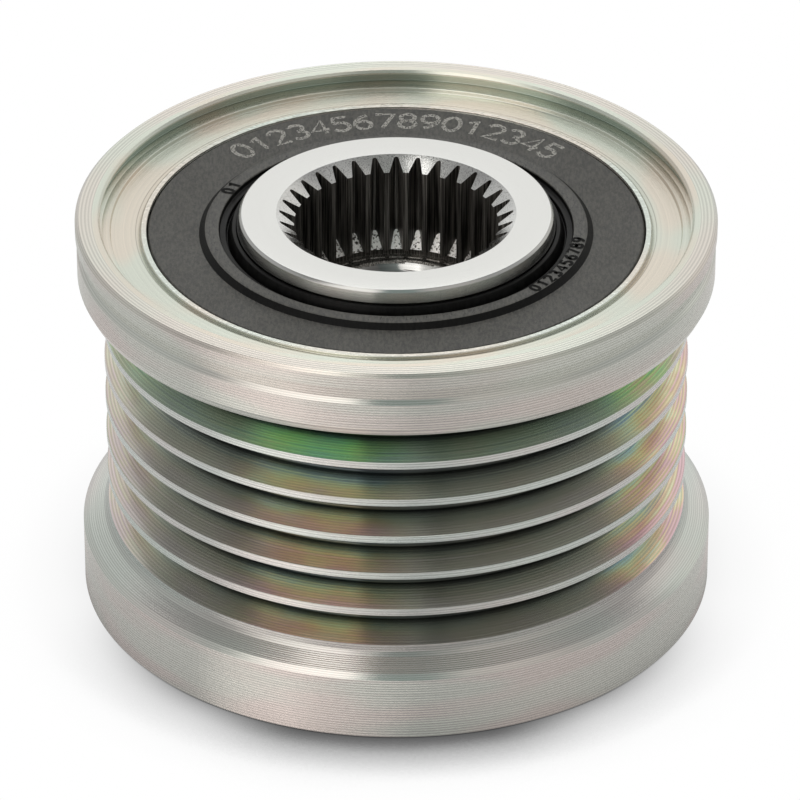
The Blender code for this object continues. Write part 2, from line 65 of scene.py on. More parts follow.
# Rim: belt grooves, recess in front of them, and the rounding of its edges
CREST_RADIUS = 24.85
GROOVE_ROOT_RADIUS = 22.1
GROOVES_BOTTOM = 7.6
GROOVES_TOP = 28.6
FIRST_GROOVE = (24.9, 25.2)
RIM_BORE_LIMIT = 21.5
RECESS_RADIUS = 25.6
RECESS_DEPTH = 2.0
# Where the wall of the recess's snap groove is painted darker, as shade in the undercut
SNAP_GROOVE_RADIUS = (25.15, 25.25)
SNAP_GROOVE_TOP = (34.9, 34.8)
STAKED_RING = (21.05, 21.5)
# Two fine score lines, painted darker as the shade in them
SCORE_AND_SHADE_RINGS = ((21.6, 21.68), (21.92, 21.99))
EDGE_ROUNDING = 0.08
CREST_ROUNDING = 0.05
GROOVE_ROOT_ROUNDING = 0.25
SEAL_ROUNDING = 0.12

# Marks cut into the rim's outline: least radius, lowest and highest middle of a stretch, pitch, depth
RIM_MARKS = ((26.9, -1.0, 5.6, 0.235, 0.009), (26.7, 29.5, 32.6, 0.2, 0.003),
             (0.0, 35.176, 36.0, 0.26, 0.006), (25.2, 5.9, 7.0, 0.16, 0.004))

# Plating of the rim from each height up: colour, depth of the fine grain and of the feed marks
PLATING = (
    (0.0, (0.82, 0.775, 0.73), 0.0068, 0.012),
    (5.67, (0.69, 0.69, 0.655), 0.0005, 0.002),
    (6.11, (0.66, 0.665, 0.635), 0.0004, 0.01),
    (6.86, (0.57, 0.57, 0.545), 0.001, 0.003),
    (7.22, (0.64, 0.645, 0.62), 0.0068, 0.004),
    (8.2, (0.82, 0.825, 0.795), 0.0066, 0.004),
    (28.9, (0.79, 0.755, 0.705), 0.0068, 0.005),
    (32.3, (0.67, 0.655, 0.62), 0.0005, 0.002),
    (32.69, (0.79, 0.76, 0.705), 0.0068, 0.005),
    (34.9, (0.7, 0.685, 0.63), 0.0015, 0.002),
    (35.17, (0.71, 0.7, 0.64), 0.001, 0.014),
)
ZONE_BLEND = 0.03
HAIR_PITCH = 0.0587
FEED_PITCH = 0.235
GROOVE_FEED_PITCH = 0.3

# How fast red, green and blue run through a film's phase, and where round the front, in degrees, the
# grooves get a painted sheen of film colours: a patch, and the start and end of its rise at both
# sides, where they are painted lighter too; then the stretches painted darker, as shade
CHANNEL_PACES = (0.83, 1.0, 1.2)
SHEEN_PATCH_TURN = (-32.0, -2.0)
SHEEN_RIGHT_SIDE = (44.0, 60.0)
SHEEN_LEFT_SIDE = (-56.0, -74.0)
SHADED_TURNS = ((-60.0, -32.0), (6.0, 52.0))

# Front seal: its rib, the rib's outer slope, which like the lip is painted darker as shade, and the
# step between its rings
RIB_INNER_RADIUS = 14.93
RIB_OUTER_RADIUS = 16.12
RIB_FOOT_RADIUS = 16.62
RING_STEP_RADIUS = 15.9
RUBBER_GRAIN = 0.09

# Tool socket in the hub, whose gaps the outline doesn't hold, read through the middle of a tooth
TOOTH_AZIMUTH = radians(8.18)
TEETH = 33
TIP_RADIUS = 8.6
ROOT_RADIUS = 9.87
ROOT_CORNER = 0.12
TOOTH_TIP_WIDTH = 0.4
GAP_ROOT_WIDTH = 0.42
GAP_MOUTH_REACH = 0.25
SOCKET_BOTTOM = 26.426
SOCKET_FLOOR = 25.95
RUN_OUT_HEIGHT = 1.4
RUN_OUT_START = 0.32

# Thread in the hub: its bore, where it starts, and the share of its pitch from ridge to groove
THREAD_PITCH = 1.5
THREAD_DEPTH = 0.81
THREAD_CORE_RADIUS = 7.19
THREAD_START = 10.4
THREAD_LIMIT_RADIUS = 7.9
THREAD_FLANK = 0.44
THREAD_STEP = 0.125

# Hub's side: how far it flares out, and how far below the face the flare starts, is widest and ends
FLARE = 0.2
FLARE_START = 0.5
FLARE_WIDEST = 1.1
FLARE_END = 1.4

# Bounds by which the hub's faces get their finish
FACE_BAND = 0.05
SIDE_RADIUS = 10.2
TOOTH_ENDS_BOTTOM = 30.0
RUN_OUT_HEIGHTS = (26.3, 29.0)
RUN_OUT_RADIUS = 8.65
THREAD_TOP = 26.0
THREAD_OUTER_RADIUS = 7.75

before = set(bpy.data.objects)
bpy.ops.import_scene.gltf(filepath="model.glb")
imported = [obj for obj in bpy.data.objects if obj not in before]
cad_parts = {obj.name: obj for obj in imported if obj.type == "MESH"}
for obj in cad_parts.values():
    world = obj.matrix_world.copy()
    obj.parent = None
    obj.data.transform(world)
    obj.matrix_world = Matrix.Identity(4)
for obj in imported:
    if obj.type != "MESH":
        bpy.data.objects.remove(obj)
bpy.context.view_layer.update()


def section(node, azimuth=pi / NODE_SIDES):
    """The corners of a turned node's outline, as (radius, height), clockwise from its top outer corner."""
    out = Vector((cos(azimuth), sin(azimuth), 0.0))
    across = Vector((-sin(azimuth), cos(azimuth), 0.0))
    shape = bmesh.new()
    shape.from_mesh(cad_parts[node].data)
    bmesh.ops.remove_doubles(shape, verts=shape.verts, dist=1e-6)
    parts = shape.verts[:] + shape.edges[:] + shape.faces[:]
    halved = bmesh.ops.bisect_plane(shape, geom=parts, dist=1e-8, plane_co=(0, 0, 0), plane_no=across)
    links = {}
    for edge in halved["geom_cut"]:
        if isinstance(edge, bmesh.types.BMEdge) and edge.verts[0].co.dot(out) > 0:
            for one, other in (edge.verts, reversed(edge.verts)):
                links.setdefault(one, []).append(other)
    loop = [max(links, key=lambda vert: (round(vert.co.z, 6), vert.co.dot(out)))]
    loop.append(min(links[loop[0]], key=lambda vert: vert.co.z))
    while True:
        one, other = links[loop[-1]]
        following = other if one is loop[-2] else one
        if following is loop[0]:
            break
        loop.append(following)
    middle = pi / NODE_SIDES * (2 * int(azimuth * NODE_SIDES / (2 * pi)) + 1)
    widen = cos(azimuth - middle) / cos(pi / NODE_SIDES) / MM
    points = [Vector((vert.co.dot(out) * widen, vert.co.z / MM)) for vert in loop]
    shape.free()
    return [here for before, here, after in neighbours(points)
            if abs(cross(here - before, after - here)) > 1e-4]


def neighbours(points):
    """Each point of a closed outline between the one before it and the one after it."""
    return zip(points[-1:] + points[:-1], points, points[1:] + points[:1])


def cross(one, other):
    """The turn from one direction to another, positive to the left."""
    return one.x * other.y - one.y * other.x


def left_of(direction):
    """The outward normal beside a clockwise outline's direction."""
    return Vector((-direction.y, direction.x))


def rounded(corners, radius_at, steps=3):
    """The outline with each corner rounded, as pairs of point and outward normal."""
    outline = []
    for before, here, after in neighbours(corners):
        arriving = (here - before).normalized()
        leaving = (after - here).normalized()
        turn = acos(max(-1.0, min(1.0, arriving.dot(leaving))))
        room = 0.46 * min((here - before).length, (after - here).length)
        reach = min(radius_at(here) * tan(turn / 2), room)
        radius = reach / tan(turn / 2)
        side = -1.0 if cross(arriving, leaving) > 0 else 1.0
        start = here - arriving * reach
        first, last = left_of(arriving), left_of(leaving)
        centre = start - first * radius * side
        for step in range(steps + 1):
            share = step / steps
            normal = (first * sin((1 - share) * turn) + last * sin(share * turn)) / sin(turn)
            outline.append((centre + normal * radius * side, normal))
    return outline


def scored(outline, inside, pitch, depth, seed):
    """The outline with turning marks cut into each straight stretch whose middle the test accepts."""
    draw = Random(seed)
    result = []
    for (start, normal), (end, _) in zip(outline, outline[1:] + outline[:1]):
        result.append((start, normal))
        length = (end - start).length
        if length < 3 * pitch or not inside((start + end) / 2):
            continue
        along = (end - start) / length
        count = round(length / pitch)
        for mark in range(count):
            cut = depth * draw.uniform(0.5, 1.0)
            slope = cut * pi * count / length
            for quarter, sink, tilt in ((1, 0.5, 1), (2, 1.0, 0), (3, 0.5, -1), (4, 0.0, 0)):
                share = (mark + quarter / 4) / count
                if share < 1:
                    point = start + along * length * share - normal * cut * sink
                    result.append((point, (normal + along * slope * tilt).normalized()))
    return result


def spun(name, outline, sides=FINE_SIDES, sink=None):
    """A turned mesh from an outline of points and normals, with an optional cut that follows the angle."""
    points, normals, faces = [], [], []
    count = len(outline)
    for side in range(sides):
        angle = 2 * pi * side / sides
        for point, normal in outline:
            radius = point.x + (sink(point, angle) if sink else 0.0)
            points.append((radius * cos(angle) * MM, radius * sin(angle) * MM, point.y * MM))
            normals.append((normal.x * cos(angle), normal.x * sin(angle), normal.y))
        beside = (side + 1) % sides * count
        for step in range(count):
            after = (step + 1) % count
            faces.append((side * count + step, side * count + after, beside + after, beside + step))
    mesh = bpy.data.meshes.new(name)
    mesh.from_pydata(points, [], faces)
    mesh.shade_smooth()
    if sink is None:
        mesh.normals_split_custom_set_from_vertices(normals)
    return mesh


def placed(name, mesh, material, body, *nodes):
    """An object of the scene for a mesh, riding on its body in place of its nodes."""
    piece = bpy.data.objects.new(name, mesh)
    bpy.context.scene.collection.objects.link(piece)
    for one in material if isinstance(material, list) else [material]:
        mesh.materials.append(one)
    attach(piece, body)
    if nodes:
        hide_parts(*nodes)
    return piece


def fill(tree, node, inputs):
    """Set each input of a node to a value, or link it to the output of another node."""
    for key, value in inputs.items():
        if isinstance(value, bpy.types.NodeSocket):
            tree.links.new(value, node.inputs[key])
        else:
            node.inputs[key].default_value = value


def add(tree, kind, inputs=None, **settings):
    """A new shader node with its settings and inputs."""
    node = tree.nodes.new("ShaderNode" + kind)
    for name, value in settings.items():
        setattr(node, name, value)
    fill(tree, node, inputs or {})
    return node


def math(tree, operation, *values):
    """The result of a math node."""
    return add(tree, "Math", dict(enumerate(values)), operation=operation).outputs[0]


def product(tree, first, *others):
    """Numbers and node outputs multiplied together."""
    for other in others:
        first = math(tree, "MULTIPLY", first, other)
    return first


def total(tree, first, *others):
    """Numbers and node outputs added up."""
    for other in others:
        first = math(tree, "ADD", first, other)
    return first


def times(tree, factor, *values):
    """A list of values, each multiplied by the factor."""
    return [product(tree, value, factor) for value in values]


def ramp(tree, value, low, high, to_low=0.0, to_high=1.0, kind="SMOOTHSTEP"):
    """A value mapped along a soft curve from one range to another, held at both ends."""
    inputs = {"Value": value, "From Min": low, "From Max": high, "To Min": to_low, "To Max": to_high}
    return add(tree, "MapRange", inputs, interpolation_type=kind).outputs[0]


def linear(tree, value, low, high, to_low=0.0, to_high=1.0):
    """A value mapped along a straight line from one range to another, held at both ends."""
    return ramp(tree, value, low, high, to_low, to_high, "LINEAR")


def window(tree, value, low, high, soft):
    """A band between two values with soft ends."""
    rise = ramp(tree, value, low - soft / 2, low + soft / 2)
    fall = ramp(tree, value, high - soft / 2, high + soft / 2, 1.0, 0.0)
    return product(tree, rise, fall)


def mixed(tree, share, one, other):
    """A colour between two."""
    return add(tree, "Mix", {0: share, 6: one, 7: other}, data_type="RGBA").outputs[2]


def scaled(tree, vector, level):
    """A vector or a colour times a number."""
    return add(tree, "VectorMath", {0: vector, "Scale": level}, operation="SCALE").outputs[0]


def tinted(tree, colour, tint):
    """A colour times a tint."""
    return add(tree, "VectorMath", {0: colour, 1: tint}, operation="MULTIPLY").outputs[0]


def new_material(name):
    """A material with its node tree and its Principled shader."""
    material = bpy.data.materials.new(name)
    material.use_nodes = True
    return material, material.node_tree, material.node_tree.nodes["Principled BSDF"]


def emboss(tree, shader, relief, depth):
    """Raise the surface by a relief whose unit is the depth in millimetres."""
    bump = add(tree, "Bump", {"Height": relief, "Distance": depth * MM})
    fill(tree, shader, {"Normal": bump.outputs[0]})


def around(tree):
    """Object coordinates in millimetres: x, y, height, radius and the angle about the axis."""
    place = add(tree, "TexCoord").outputs["Object"]
    x, y, height = add(tree, "SeparateXYZ", {0: scaled(tree, place, 1 / MM)}).outputs
    radius = math(tree, "SQRT", total(tree, product(tree, x, x), product(tree, y, y)))
    return x, y, height, radius, math(tree, "ARCTAN2", y, x)


def noise(tree, vector, detail=2.0):
    """Noise over a vector given by its three values."""
    place = add(tree, "CombineXYZ", dict(enumerate(vector))).outputs[0]
    inputs = {"Vector": place, "Scale": 1.0, "Detail": detail, "Roughness": 0.5}
    return add(tree, "TexNoise", inputs).outputs["Fac"]


def lines(tree, height, radius, angle, pitch, wander=0.2, detail=2.0):
    """Turning lines: noise that changes quickly along the section and hardly round the axis."""
    vector = (*times(tree, 1.0 / pitch, radius, height), product(tree, math(tree, "SINE", angle), wander))
    return noise(tree, vector, detail)


def front_angle(tree, x, y):
    """The angle about the axis in degrees, 0 at the front and positive to the right."""
    return product(tree, math(tree, "ARCTAN2", x, product(tree, y, -1.0)), 180 / pi)


def film_colour(tree, base, phase, strength):
    """The base colour under a thin clear film, whose phase counts green wavelengths of its path."""
    channels = []
    for level, pace in zip(base, CHANNEL_PACES):
        wave = math(tree, "COSINE", product(tree, phase, 2 * pi * pace))
        loss = product(tree, math(tree, "SUBTRACT", 1.0, wave), product(tree, strength, 0.5))
        channels.append(product(tree, math(tree, "SUBTRACT", 1.0, loss), level))
    return add(tree, "CombineColor", dict(enumerate(channels))).outputs[0]


def turned_shader(tree, shader, colour, rough, spread=0.93):
    """Bare metal whose gloss spreads along the section and stays sharp round the axis."""
    tangent = add(tree, "Tangent", direction_type="RADIAL", axis="Z").outputs[0]
    fill(tree, shader, {"Base Color": colour, "Metallic": 1.0, "Roughness": rough, "Anisotropic": spread,
                        "Anisotropic Rotation": 0.25, "Tangent": tangent})


def stepped(tree, height, steps):
    """A number that changes at each height given, as pairs of start and value."""
    value = steps[0][1]
    for (_, before), (start, after) in zip(steps, steps[1:]):
        change = ramp(tree, height, start - ZONE_BLEND, start + ZONE_BLEND, 0.0, after - before)
        value = total(tree, value, change)
    return value


def along_section(tree, height, radius):
    """A length that runs on over sides, faces and cones."""
    return math(tree, "SUBTRACT", height, product(tree, radius, 0.8))


def feed_marks(tree, height, radius, pitch):
    """Regular turning marks, from 0 to 1, that wander a little in place and in depth."""
    along = along_section(tree, height, radius)
    drift = noise(tree, (product(tree, along, 1.7), 0.0, 0.0), 1.0)
    phase = total(tree, product(tree, along, 2 * pi / pitch), product(tree, drift, 2.0))
    depth = ramp(tree, noise(tree, (product(tree, along, 5.0), 3.0, 0.0), 1.0), 0.3, 0.7, 0.7, 1.0)
    return total(tree, 0.5, product(tree, math(tree, "SINE", phase), 0.5, depth))


def turned_metal(name, zones, rough, film, streaks):
    """Turned steel whose colour, fine grain and feed marks change at the heights given."""
    material, tree, shader = new_material(name)
    x, y, height, radius, angle = around(tree)
    hair = math(tree, "SINE", product(tree, along_section(tree, height, radius), 2 * pi / HAIR_PITCH))
    fine = lines(tree, height, radius, angle, 0.2, 0.1)
    feed = feed_marks(tree, height, radius, FEED_PITCH)
    base = add(tree, "RGB").outputs[0]
    base.default_value = (*zones[0][1], 1.0)
    for start, colour, _, _ in zones[1:]:
        base = mixed(tree, ramp(tree, height, start - ZONE_BLEND, start + ZONE_BLEND), base, (*colour, 1.0))
    cloud = noise(tree, (*times(tree, 0.07, x, y), product(tree, height, 0.35)), 1.0)
    pink = (1.0, 1.0 - film, 1.0 - 0.9 * film, 1.0)
    green = (1.0 - film, 1.0, 1.0 - 0.3 * film, 1.0)
    tint = mixed(tree, ramp(tree, cloud, 0.35, 0.65), pink, green)
    level = product(tree, linear(tree, feed, 0.0, 1.0, 1.0 - streaks, 1.0 + 0.5 * streaks),
                    linear(tree, fine, 0.3, 0.7, 1.0 - 0.2 * streaks, 1.0 + 0.2 * streaks))
    turned_shader(tree, shader, tinted(tree, base, scaled(tree, tint, level)), rough)
    spread = stepped(tree, height, [(start, grain) for start, _, grain, _ in zones])
    marks = stepped(tree, height, [(start, mark) for start, _, _, mark in zones])
    emboss(tree, shader, total(tree, product(tree, hair, spread), product(tree, feed, marks)), 1.0)
    return material


def groove_metal(name, colour):
    """The belt grooves under a film of passivation: green in front and browner to the rear.

    A painted sheen: the film shows most in a patch left of the front and at the sides, where its hues
    change and the sides are painted lighter. The stretches between and the roots of the grooves are
    painted darker, as shade.
    """
    material, tree, shader = new_material(name)
    x, y, height, radius, angle = around(tree)
    fine = lines(tree, height, radius, angle, 0.14)
    depth = linear(tree, radius, CREST_RADIUS, GROOVE_ROOT_RADIUS)
    front = front_angle(tree, x, y)
    # Painted sheen: the film's colours show most in the patch and at the sides, which are also painted
    # lighter
    patch = window(tree, front, *SHEEN_PATCH_TURN, 18.0)
    side = total(tree, ramp(tree, front, *SHEEN_RIGHT_SIDE), ramp(tree, front, *SHEEN_LEFT_SIDE, 0.0, 0.4))
    # Stretches painted darker round the front, as shade
    shaded_stretches = total(tree, *(window(tree, front, *turn, 12.0) for turn in SHADED_TURNS))
    first = ramp(tree, height, *FIRST_GROOVE)
    phase = total(tree, ramp(tree, height, 25.0, 19.0, 1.14, 1.29),
                  product(tree, first, total(tree, 0.82, product(tree, side, 0.16))))
    greener = product(tree, ramp(tree, depth, 0.35, 0.8, 0.0, 0.3), math(tree, "SUBTRACT", 1.0, first))
    phase = math(tree, "SUBTRACT", phase, greener)
    phase = total(tree, phase, product(tree, side, linear(tree, depth, 0.0, 1.0, 0.06, -0.22)))
    grain = product(tree, linear(tree, fine, 0.3, 0.7, -0.18, 0.18),
                    total(tree, 1.0, product(tree, side, 0.6)))
    blot = noise(tree, (*times(tree, 0.22, x, y), product(tree, height, 0.9)))
    phase = total(tree, phase, total(tree, grain, linear(tree, blot, 0.3, 0.7, -0.16, 0.16)))
    phase = math(tree, "MINIMUM", phase, ramp(tree, first, 0.0, 1.0, 1.4, 2.24))
    strength = total(tree, product(tree, patch, 0.24), product(tree, side, 0.34),
                     ramp(tree, first, 0.0, 1.0, 0.08, 0.11))
    feed = feed_marks(tree, height, radius, GROOVE_FEED_PITCH)
    # Painted shade: darker in the shaded stretches and towards the groove roots; painted lighter at the
    # sides
    level = product(tree, linear(tree, fine, 0.3, 0.7, 0.86, 1.12), linear(tree, feed, 0.0, 1.0, 0.8, 1.14),
                    ramp(tree, shaded_stretches, 0.0, 1.0, 1.03, 0.83),
                    total(tree, ramp(tree, depth, 0.68, 1.0, 1.0, 0.16), product(tree, side, 0.25)))
    film = film_colour(tree, colour, phase, strength)
    turned_shader(tree, shader, scaled(tree, film, level), ramp(tree, fine, 0.3, 0.7, 0.17, 0.21))
    emboss(tree, shader, fine, 0.006)
    return material


def recess_metal(name, colour, snap_groove_shade_colour, staked_colour):
    """The front recess with soft pastel patches, its staked ring and painted shade in its grooves."""
    material, tree, shader = new_material(name)
    x, y, height, radius, angle = around(tree)
    fine = lines(tree, height, radius, angle, 0.16)
    hair = lines(tree, height, radius, angle, 0.05, detail=1.0)
    ring = times(tree, 2.2, math(tree, "COSINE", angle), math(tree, "SINE", angle))
    cloud = noise(tree, (*ring, product(tree, radius, 0.25)), 1.0)
    # The snap groove's wall is painted darker, as shade in the undercut
    wall = product(tree, ramp(tree, radius, *SNAP_GROOVE_RADIUS), ramp(tree, height, *SNAP_GROOVE_TOP))
    staked = window(tree, radius, *STAKED_RING, 0.06)
    crinkle = noise(tree, times(tree, 2.5, x, y, height), 3.0)
    tint = mixed(tree, ramp(tree, cloud, 0.38, 0.62), (1.0, 0.95, 0.91, 1.0), (0.92, 1.0, 0.98, 1.0))
    base = mixed(tree, wall, (*colour, 1.0), (*snap_groove_shade_colour, 1.0))
    base = mixed(tree, staked, base, (*staked_colour, 1.0))
    # Fine score lines, painted darker as the shade in them
    scores_and_shade = total(tree, *(window(tree, radius, *reach, 0.05) for reach in SCORE_AND_SHADE_RINGS))
    level = math(tree, "SUBTRACT", linear(tree, fine, 0.3, 0.7, 0.95, 1.03), product(tree, scores_and_shade, 0.35))
    turned_shader(tree, shader, tinted(tree, base, scaled(tree, tint, level)), 0.26, 0.9)
    relief = total(tree, product(tree, hair, 0.4), product(tree, fine, 0.6),
                   product(tree, crinkle, staked, 6.0))
    emboss(tree, shader, relief, 0.012)
    return material


def ground_metal(name, colour, rough):
    """Bright ground steel with faint cross marks."""
    material, tree, shader = new_material(name)
    x, y, height, *_ = around(tree)
    marks = noise(tree, (product(tree, x, 2.0), product(tree, y, 30.0), height), 3.0)
    fill(tree, shader, {"Base Color": (*colour, 1.0), "Metallic": 1.0,
                        "Roughness": ramp(tree, marks, 0.3, 0.7, rough - 0.04, rough + 0.06)})
    emboss(tree, shader, marks, 0.001)
    return material


def cut_steel(name, colour):
    """Bright cut steel with specks, on the chamfered ends of the teeth."""
    material, tree, shader = new_material(name)
    x, y, height, *_ = around(tree)
    grain = noise(tree, times(tree, 9.0, x, y, height), 4.0)
    speck = tuple(0.5 * channel for channel in colour)
    shade = mixed(tree, ramp(tree, grain, 0.3, 0.5), (*speck, 1.0), (*colour, 1.0))
    fill(tree, shader, {"Base Color": shade, "Metallic": 1.0,
                        "Roughness": ramp(tree, grain, 0.3, 0.7, 0.12, 0.22)})
    emboss(tree, shader, grain, 0.008)
    return material


def dark_broached(name):
    """Tooth walls painted dark, as the shade deep in the socket, with lighter upright tool streaks."""
    material, tree, shader = new_material(name)
    _, _, height, radius, angle = around(tree)
    vector = (product(tree, angle, 80.0), product(tree, height, 0.15), product(tree, radius, 6.0))
    streaks = noise(tree, vector, 3.0)
    # Painted shade: the dark colour stands for the shade deep in the socket
    shade = mixed(tree, ramp(tree, streaks, 0.35, 0.75), (0.05, 0.047, 0.043, 1.0), (0.42, 0.4, 0.37, 1.0))
    fill(tree, shader, {"Base Color": shade, "Metallic": 0.85,
                        "Roughness": ramp(tree, streaks, 0.3, 0.7, 0.3, 0.45)})
    emboss(tree, shader, streaks, 0.01)
    return material


def speckled_metal(name):
    """Torn bright metal with dark pits, where the teeth run out of the wall."""
    material, tree, shader = new_material(name)
    x, y, height, *_ = around(tree)
    grain = noise(tree, times(tree, 4.5, x, y, height), 4.0)
    shade = mixed(tree, ramp(tree, grain, 0.38, 0.5), (0.07, 0.065, 0.06, 1.0), (0.9, 0.89, 0.87, 1.0))
    fill(tree, shader, {"Base Color": shade, "Metallic": 0.75, "Roughness": 0.4})
    emboss(tree, shader, grain, 0.05)
    return material


def seal_rubber(name, colour, rough, specular):
    """Matt black moulded rubber with a fine grain, smoother inside the step between its rings."""
    material, tree, shader = new_material(name)
    x, y, height, radius, _ = around(tree)
    grain = noise(tree, times(tree, 1 / RUBBER_GRAIN, x, y, height), 3.0)
    weave = noise(tree, (product(tree, x, 5.0), product(tree, y, 1.6), height), 3.0)
    patch = noise(tree, (*times(tree, 0.25, x, y), height))
    matt = ramp(tree, radius, RING_STEP_RADIUS - 0.1, RING_STEP_RADIUS + 0.1)
    tone = total(tree, product(tree, grain, 0.5), product(tree, weave, 0.5))
    dark, pale = (tuple(level * channel for channel in colour) for level in (0.3, 1.9))
    shade = mixed(tree, ramp(tree, tone, 0.38, 0.62), (*dark, 1.0), (*pale, 1.0))
    uneven = total(tree, ramp(tree, tone, 0.3, 0.7, -0.07, 0.07), ramp(tree, patch, 0.3, 0.7, -0.03, 0.03))
    level = total(tree, rough - 0.12, product(tree, matt, 0.12))
    fill(tree, shader, {"Base Color": shade, "Specular IOR Level": specular,
                        "Roughness": total(tree, uneven, level)})
    emboss(tree, shader, product(tree, tone, ramp(tree, matt, 0.0, 1.0, 0.3, 1.0)), 0.02)
    return material


def broken_marks(name, mark_colour, rubber_colour, specular):
    """The strokes of the marks, broken up by the grain of the rubber."""
    material, tree, shader = new_material(name)
    x, y, height, *_ = around(tree)
    grain = noise(tree, times(tree, 8.0, x, y, height), 4.0)
    shade = mixed(tree, ramp(tree, grain, 0.4, 0.55), (*rubber_colour, 1.0), (*mark_colour, 1.0))
    fill(tree, shader, {"Base Color": shade, "Roughness": 0.6, "Specular IOR Level": specular})
    return material


def plain_steel(name, colour, rough):
    """Polished bearing steel for the rollers and rings inside."""
    material, tree, shader = new_material(name)
    x, y, height, *_ = around(tree)
    haze = noise(tree, (x, y, height), 3.0)
    fill(tree, shader, {"Base Color": (*colour, 1.0), "Metallic": 1.0,
                        "Roughness": ramp(tree, haze, 0.3, 0.7, rough - 0.04, rough + 0.05)})
    return material


def cage_plastic(name):
    """Brown glass-filled nylon of the cages."""
    material, tree, shader = new_material(name)
    x, y, height, *_ = around(tree)
    fibres = noise(tree, (*times(tree, 3.0, x, y), height), 4.0)
    shade = mixed(tree, ramp(tree, fibres, 0.3, 0.7), (0.1, 0.08, 0.055, 1.0), (0.16, 0.13, 0.09, 1.0))
    fill(tree, shader, {"Base Color": shade, "Roughness": 0.5})
    return material


def build_rim(plated, grooved, recess):
    """The belt pulley with rounded edges, feed marks on both flanges and the rings of its top face."""
    corners = section("pulley_rim")
    front = max(corner.y for corner in corners)

    def radius_at(point):
        if abs(point.x - CREST_RADIUS) < 0.01:
            return CREST_ROUNDING
        if abs(point.x - GROOVE_ROOT_RADIUS) < 0.01:
            return GROOVE_ROOT_ROUNDING
        return EDGE_ROUNDING

    outline = rounded(corners, radius_at)
    for seed, (least, low, high, pitch, depth) in enumerate(RIM_MARKS, 1):
        outline = scored(outline, lambda middle: least < middle.x and low < middle.y < high,
                         pitch, depth, seed)
    mesh = spun("pulley_rim_turned", outline)
    finishes = [plated, grooved, recess]
    rim = placed("pulley_rim_turned", mesh, finishes, "pulley", "pulley_rim")
    for face in mesh.polygons:
        radius = hypot(face.center.x, face.center.y) / MM
        height = face.center.z / MM
        if RIM_BORE_LIMIT < radius < CREST_RADIUS - 0.04 and GROOVES_BOTTOM < height < GROOVES_TOP:
            face.material_index = finishes.index(grooved)
        if radius < RECESS_RADIUS and height > front - RECESS_DEPTH:
            face.material_index = finishes.index(recess)


def thread_cut(point, angle):
    """How far the thread cuts into the bore at a point of the outline."""
    if not THREAD_START < point.y < SOCKET_FLOOR or point.x > THREAD_LIMIT_RADIUS:
        return 0.0
    phase = (point.y / THREAD_PITCH + angle / (2 * pi)) % 1.0
    cut = THREAD_DEPTH * max(0.0, 1.0 - abs(phase - 0.5) / THREAD_FLANK)
    return max(0.0, THREAD_CORE_RADIUS + cut - point.x)


def gap_cutter(top):
    """The gaps between the teeth, each ending on a cone at its inner end."""
    pitch = 2 * pi / TEETH
    mouth = pitch / 2 - TOOTH_TIP_WIDTH / 2 / TIP_RADIUS
    root = GAP_ROOT_WIDTH / 2 / ROOT_RADIUS
    inner = TIP_RADIUS - GAP_MOUTH_REACH
    inner_half = mouth + (mouth - root) * GAP_MOUTH_REACH / (ROOT_RADIUS - TIP_RADIUS)
    slope = (ROOT_RADIUS - TIP_RADIUS - RUN_OUT_START) / RUN_OUT_HEIGHT
    corners = ((inner, -inner_half), (ROOT_RADIUS - ROOT_CORNER, -root), (ROOT_RADIUS, -root * 0.5),
               (ROOT_RADIUS, root * 0.5), (ROOT_RADIUS - ROOT_CORNER, root), (inner, inner_half))
    shape = bmesh.new()
    for number in range(TEETH):
        middle = pi / 2 + number * pitch
        bottom, upper = [], []
        for radius, offset in corners:
            height = SOCKET_BOTTOM + (radius - TIP_RADIUS - RUN_OUT_START) / slope
            x, y = radius * cos(middle + offset) * MM, radius * sin(middle + offset) * MM
            bottom.append(shape.verts.new((x, y, height * MM)))
            upper.append(shape.verts.new((x, y, top * MM)))
        shape.faces.new(reversed(bottom))
        shape.faces.new(upper)
        for one in range(len(corners)):
            other = (one + 1) % len(corners)
            shape.faces.new((bottom[one], bottom[other], upper[other], upper[one]))
    mesh = bpy.data.meshes.new("gap_cutter")
    shape.to_mesh(mesh)
    shape.free()
    cutter = bpy.data.objects.new("gap_cutter", mesh)
    bpy.context.scene.collection.objects.link(cutter)
    return cutter


